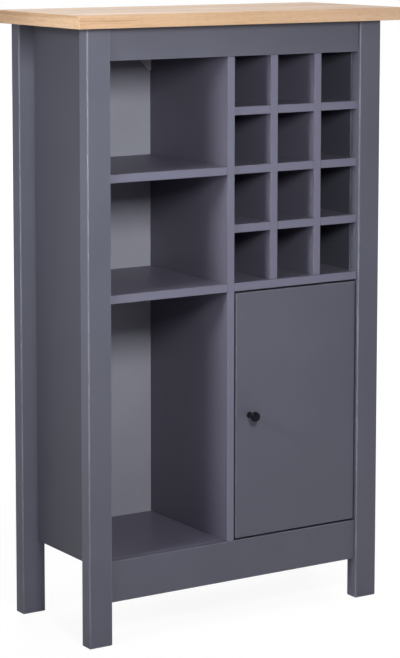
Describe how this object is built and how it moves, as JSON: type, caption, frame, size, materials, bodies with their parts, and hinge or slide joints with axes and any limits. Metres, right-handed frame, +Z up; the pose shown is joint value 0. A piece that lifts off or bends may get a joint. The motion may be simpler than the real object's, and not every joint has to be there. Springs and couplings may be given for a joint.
{
  "type": "wine cabinet",
  "caption": "Narrow four-legged wine cabinet with an oak worktop, open compartments, a lapped bottle rack and a cupboard with one inset door.",
  "frame": {"origin": "on the floor, under the middle of the worktop, at the bottom centre of the bounding box", "axes": "+Z up, +X to the right seen from the front, +Y to the rear; the front faces -Y"},
  "size_m": [0.744, 0.326, 1.2],
  "materials": {
    "anthracite_lacquer": "satin blue-grey lacquer on furniture board",
    "worktop_oak": "oak decor, matt",
    "back_board": "thin fibreboard, matt grey",
    "beech": "plain beech dowel",
    "black_knob": "black, semi-gloss",
    "nickel_plated": "nickel-plated steel",
    "zinc_plated": "bright zinc-plated steel"
  },
  "bodies": {
    "cabinet": {"back_panel": "back_board", "bottom_board": "anthracite_lacquer", "bottom_rail_front": "anthracite_lacquer", "bracket_screw_left": "zinc_plated", "bracket_screw_right": "zinc_plated", "ceiling_board": "anthracite_lacquer", "centre_divider": "anthracite_lacquer", "corner_bracket": "zinc_plated", "dowel_bottom_rail_left_lower": "beech", "dowel_bottom_rail_left_upper": "beech", "dowel_bottom_rail_right_lower": "beech", "dowel_bottom_rail_right_upper": "beech", "dowel_rear_rail_left_lower": "beech", "dowel_rear_rail_left_upper": "beech", "dowel_rear_rail_right_lower": "beech", "dowel_rear_rail_right_upper": "beech", "dowel_top_rail_left_lower": "beech", "dowel_top_rail_left_upper": "beech", "dowel_top_rail_right_lower": "beech", "dowel_top_rail_right_upper": "beech", "fixed_shelf_right": "anthracite_lacquer", "leg_front_left": "anthracite_lacquer", "leg_front_right": "anthracite_lacquer", "leg_rear_left": "anthracite_lacquer", "leg_rear_right": "anthracite_lacquer", "lower_hinge_arm": "nickel_plated", "lower_hinge_arm_screw": "nickel_plated", "lower_hinge_plate": "nickel_plated", "plate_screw_lower_hinge_lower": "nickel_plated", "plate_screw_lower_hinge_upper": "nickel_plated", "plate_screw_upper_hinge_lower": "nickel_plated", "plate_screw_upper_hinge_upper": "nickel_plated", "rack_shelf_1": "anthracite_lacquer", "rack_shelf_2": "anthracite_lacquer", "rack_shelf_3": "anthracite_lacquer", "rack_upright_1": "anthracite_lacquer", "rack_upright_2": "anthracite_lacquer", "shelf_left_lower": "anthracite_lacquer", "shelf_left_upper": "anthracite_lacquer", "side_panel_left": "anthracite_lacquer", "side_panel_right": "anthracite_lacquer", "top_rail_front": "anthracite_lacquer", "top_rail_rear": "anthracite_lacquer", "upper_hinge_arm": "nickel_plated", "upper_hinge_arm_screw": "nickel_plated", "upper_hinge_plate": "nickel_plated", "worktop": "worktop_oak"},
    "door": {"cup_screw_lower_hinge_lower": "nickel_plated", "cup_screw_lower_hinge_upper": "nickel_plated", "cup_screw_upper_hinge_lower": "nickel_plated", "cup_screw_upper_hinge_upper": "nickel_plated", "door_knob": "black_knob", "door_panel": "anthracite_lacquer", "knob_screw": "nickel_plated", "lower_hinge_cup": "nickel_plated", "lower_hinge_pin": "nickel_plated", "upper_hinge_cup": "nickel_plated", "upper_hinge_pin": "nickel_plated"}
  },
  "joints": [
    {"name": "door_swing", "type": "hinge", "parent": "cabinet", "child": "door", "pos_m": [0.2605, -0.116, 0.4095], "axis": [0, 0, 1], "range_deg": [0, 100]}
  ]
}
